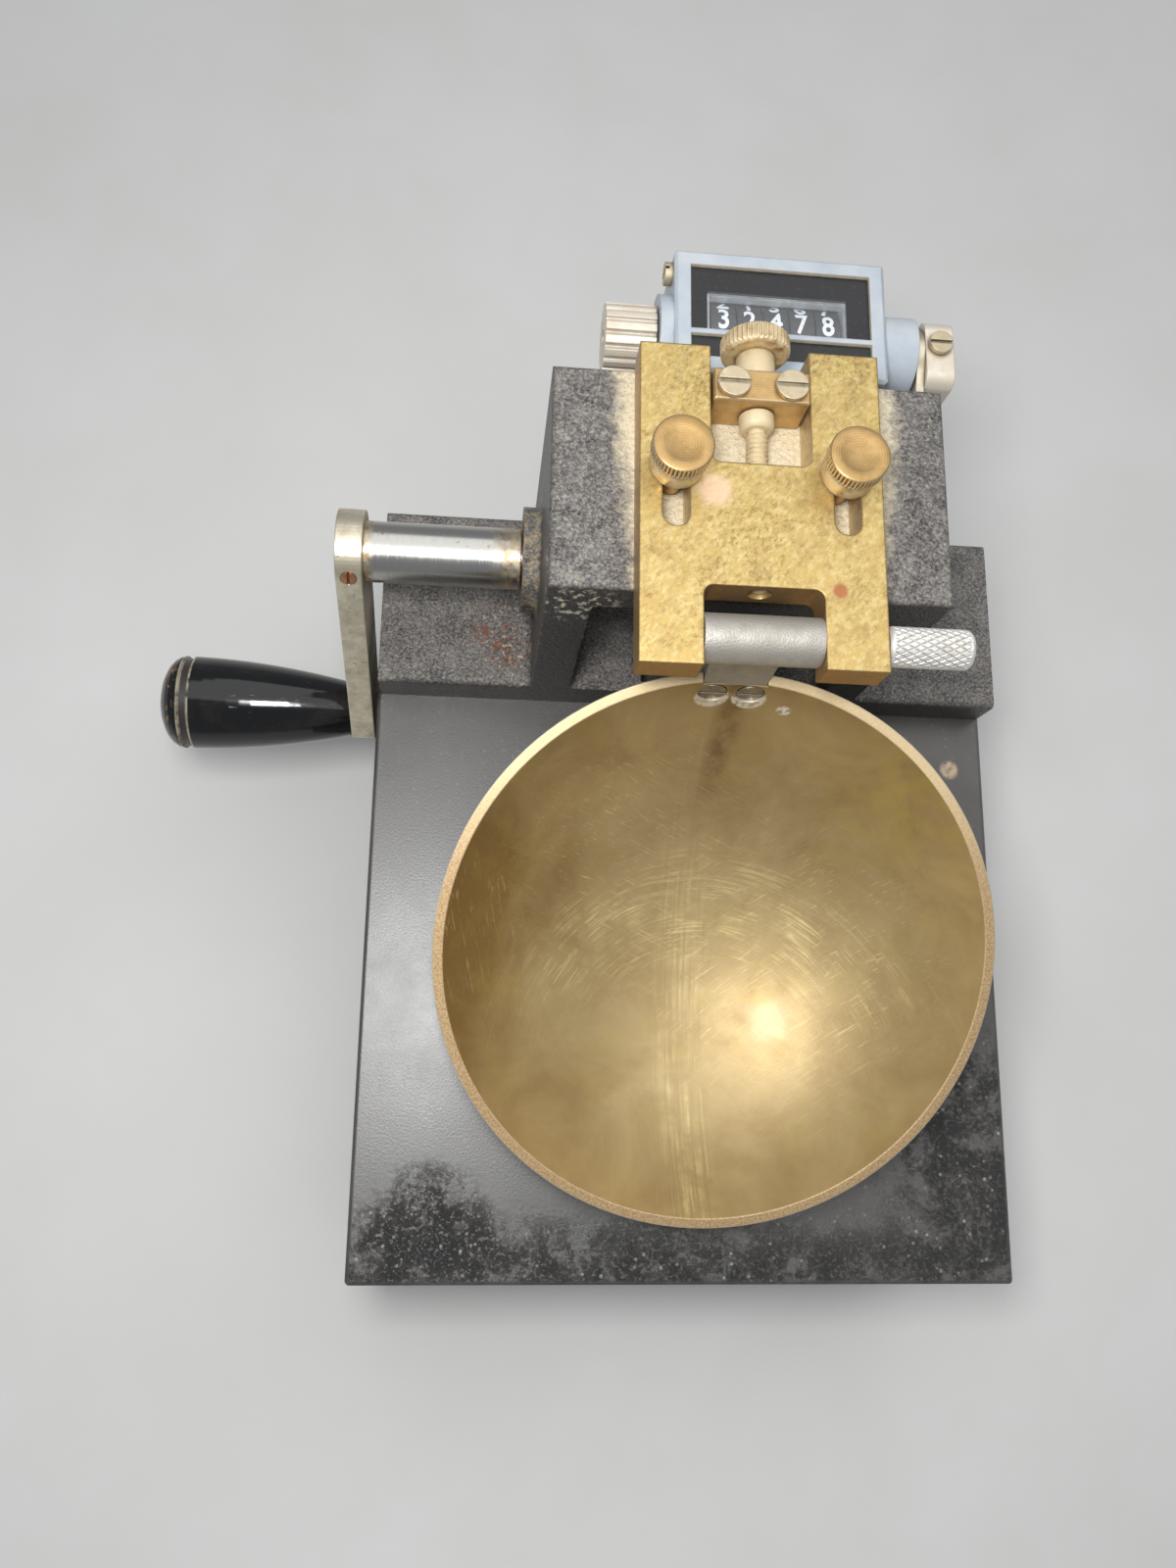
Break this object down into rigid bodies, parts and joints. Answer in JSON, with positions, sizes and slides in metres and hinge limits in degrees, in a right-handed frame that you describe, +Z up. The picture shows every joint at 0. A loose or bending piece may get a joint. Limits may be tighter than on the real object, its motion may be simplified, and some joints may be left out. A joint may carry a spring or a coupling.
{
  "type": "liquid limit device",
  "caption": "Hand-cranked liquid-limit device: a brass cup hinged over a hard rubber block, lifted and dropped by a cam, with an adjusting plate and a stroke counter.",
  "frame": {"origin": "centre of the base block's top face, where the cup strikes", "axes": "+X away from the crank, +Y to the rear, +Z up from the base's top face"},
  "size_m": [0.1696, 0.1788, 0.1313],
  "materials": {
    "hard_rubber": "worn black hard rubber, semi-matte",
    "foot_rubber": "soft black rubber, matte",
    "casting_paint": "black wrinkle paint on cast iron, dusty and chipped",
    "bright_steel": "polished steel, lightly stained",
    "nickel": "dull nickel plate",
    "cam_steel": "oiled machined steel",
    "screw_steel": "plain screw steel",
    "hanger_steel": "bead-blasted steel",
    "copper_screw": "copper-coloured screw",
    "bushing_bronze": "bearing bronze",
    "cup_brass": "brass with brown patina and fine scratches",
    "plate_brass": "golden brass with mottled patina",
    "knob_brass": "brown knurled brass",
    "grip_plastic": "gloss black phenolic",
    "counter_paint": "pale blue-grey paint",
    "bracket_paint": "dark grey paint",
    "label_black": "satin black",
    "window_clear": "clear pane",
    "wheel_black": "black wheel with plain white numbers",
    "zinc": "pale die-cast zinc"
  },
  "bodies": {
    "frame": {"base_block": "hard_rubber", "rubber_feet": "foot_rubber", "foot_screws": "screw_steel", "frame_casting": "casting_paint", "casting_bolts": "screw_steel", "shaft_bushings": "bushing_bronze", "screw_block": "knob_brass", "block_screws": "screw_steel", "counter_bracket": "bracket_paint", "bracket_screws": "screw_steel", "counter_housing": "counter_paint", "counter_labels": "label_black", "counter_window": "window_clear", "counter_screws": "screw_steel"},
    "crank": {"crank_shaft": "cam_steel", "shaft_sleeve": "bright_steel", "crank_arm": "nickel", "arm_screw": "copper_screw", "handle_spindle": "screw_steel", "lift_cam": "cam_steel", "cam_screws": "screw_steel", "eccentric_disc": "cam_steel", "disc_screw": "screw_steel"},
    "grip": {"handle_grip": "grip_plastic"},
    "plate": {"adjusting_plate": "plate_brass"},
    "screw": {"adjusting_screw": "knob_brass", "adjusting_knob": "knob_brass"},
    "cup": {"cup_bowl": "cup_brass", "cup_hanger": "hanger_steel", "cup_screws": "screw_steel", "cam_follower": "cam_steel"},
    "pin": {"hinge_pin": "bright_steel"},
    "thumb_left": {"thumb_screw_left": "knob_brass"},
    "thumb_right": {"thumb_screw_right": "knob_brass"},
    "reset": {"counter_shaft": "screw_steel", "reset_knob": "zinc"},
    "lever": {"counter_lever": "nickel", "lever_clamp": "zinc", "clamp_screw": "screw_steel"},
    "wheel_1": {"number_wheel_1": "wheel_black"},
    "wheel_2": {"number_wheel_2": "wheel_black"},
    "wheel_3": {"number_wheel_3": "wheel_black"},
    "wheel_4": {"number_wheel_4": "wheel_black"},
    "wheel_5": {"number_wheel_5": "wheel_black"}
  },
  "joints": [
    {"name": "crank_turn", "type": "hinge", "parent": "frame", "child": "crank", "pos_m": [0, 0.0545, 0.0275], "axis": [-1, 0, 0], "continuous": true},
    {"name": "grip_spin", "type": "hinge", "parent": "crank", "child": "grip", "pos_m": [-0.06845, 0.03639, -0.0126], "axis": [1, 0, 0], "continuous": true},
    {"name": "screw_turn", "type": "hinge", "parent": "frame", "child": "screw", "pos_m": [0, 0.07555, 0.06352], "axis": [0, -1, 0], "range_deg": [-1351, 1]},
    {"name": "plate_slide", "type": "slide", "parent": "frame", "child": "plate", "axis": [0, 1, 0], "range_m": [-0.003, 0]},
    {"name": "cup_lift", "type": "hinge", "parent": "plate", "child": "cup", "pos_m": [0, 0.0276, 0.06352], "axis": [-1, 0, 0], "range_deg": [0, 100]},
    {"name": "pin_pull", "type": "slide", "parent": "plate", "child": "pin", "axis": [1, 0, 0], "range_m": [0, 0.036]},
    {"name": "thumb_left_turn", "type": "hinge", "parent": "frame", "child": "thumb_left", "pos_m": [-0.0134, 0.0543, 0.0667], "axis": [0, 0, 1], "range_deg": [0, 360]},
    {"name": "thumb_right_turn", "type": "hinge", "parent": "frame", "child": "thumb_right", "pos_m": [0.0134, 0.0543, 0.0667], "axis": [0, 0, 1], "range_deg": [0, 360]},
    {"name": "reset_turn", "type": "hinge", "parent": "frame", "child": "reset", "pos_m": [0, 0.0909, 0.0433], "axis": [-1, 0, 0], "continuous": true},
    {"name": "lever_lift", "type": "hinge", "parent": "frame", "child": "lever", "pos_m": [0, 0.0909, 0.0433], "axis": [-1, 0, 0], "range_deg": [0, 30], "stiffness_Nm_per_rad": 0.02},
    {"name": "wheel_1_turn", "type": "hinge", "parent": "frame", "child": "wheel_1", "pos_m": [0, 0.0909, 0.0433], "axis": [-1, 0, 0], "continuous": true},
    {"name": "wheel_2_turn", "type": "hinge", "parent": "frame", "child": "wheel_2", "pos_m": [0, 0.0909, 0.0433], "axis": [-1, 0, 0], "continuous": true},
    {"name": "wheel_3_turn", "type": "hinge", "parent": "frame", "child": "wheel_3", "pos_m": [0, 0.0909, 0.0433], "axis": [-1, 0, 0], "continuous": true},
    {"name": "wheel_4_turn", "type": "hinge", "parent": "frame", "child": "wheel_4", "pos_m": [0, 0.0909, 0.0433], "axis": [-1, 0, 0], "continuous": true},
    {"name": "wheel_5_turn", "type": "hinge", "parent": "frame", "child": "wheel_5", "pos_m": [0, 0.0909, 0.0433], "axis": [-1, 0, 0], "continuous": true}
  ],
  "couplings": [
    {"joint": "screw_turn", "follows": "plate_slide", "rad_per_m": 7854},
    {"joint": "wheel_1_turn", "follows": "crank_turn", "ratio": 0.00001},
    {"joint": "wheel_2_turn", "follows": "crank_turn", "ratio": 0.0001},
    {"joint": "wheel_3_turn", "follows": "crank_turn", "ratio": 0.001},
    {"joint": "wheel_4_turn", "follows": "crank_turn", "ratio": 0.01},
    {"joint": "wheel_5_turn", "follows": "crank_turn", "ratio": 0.1}
  ]
}
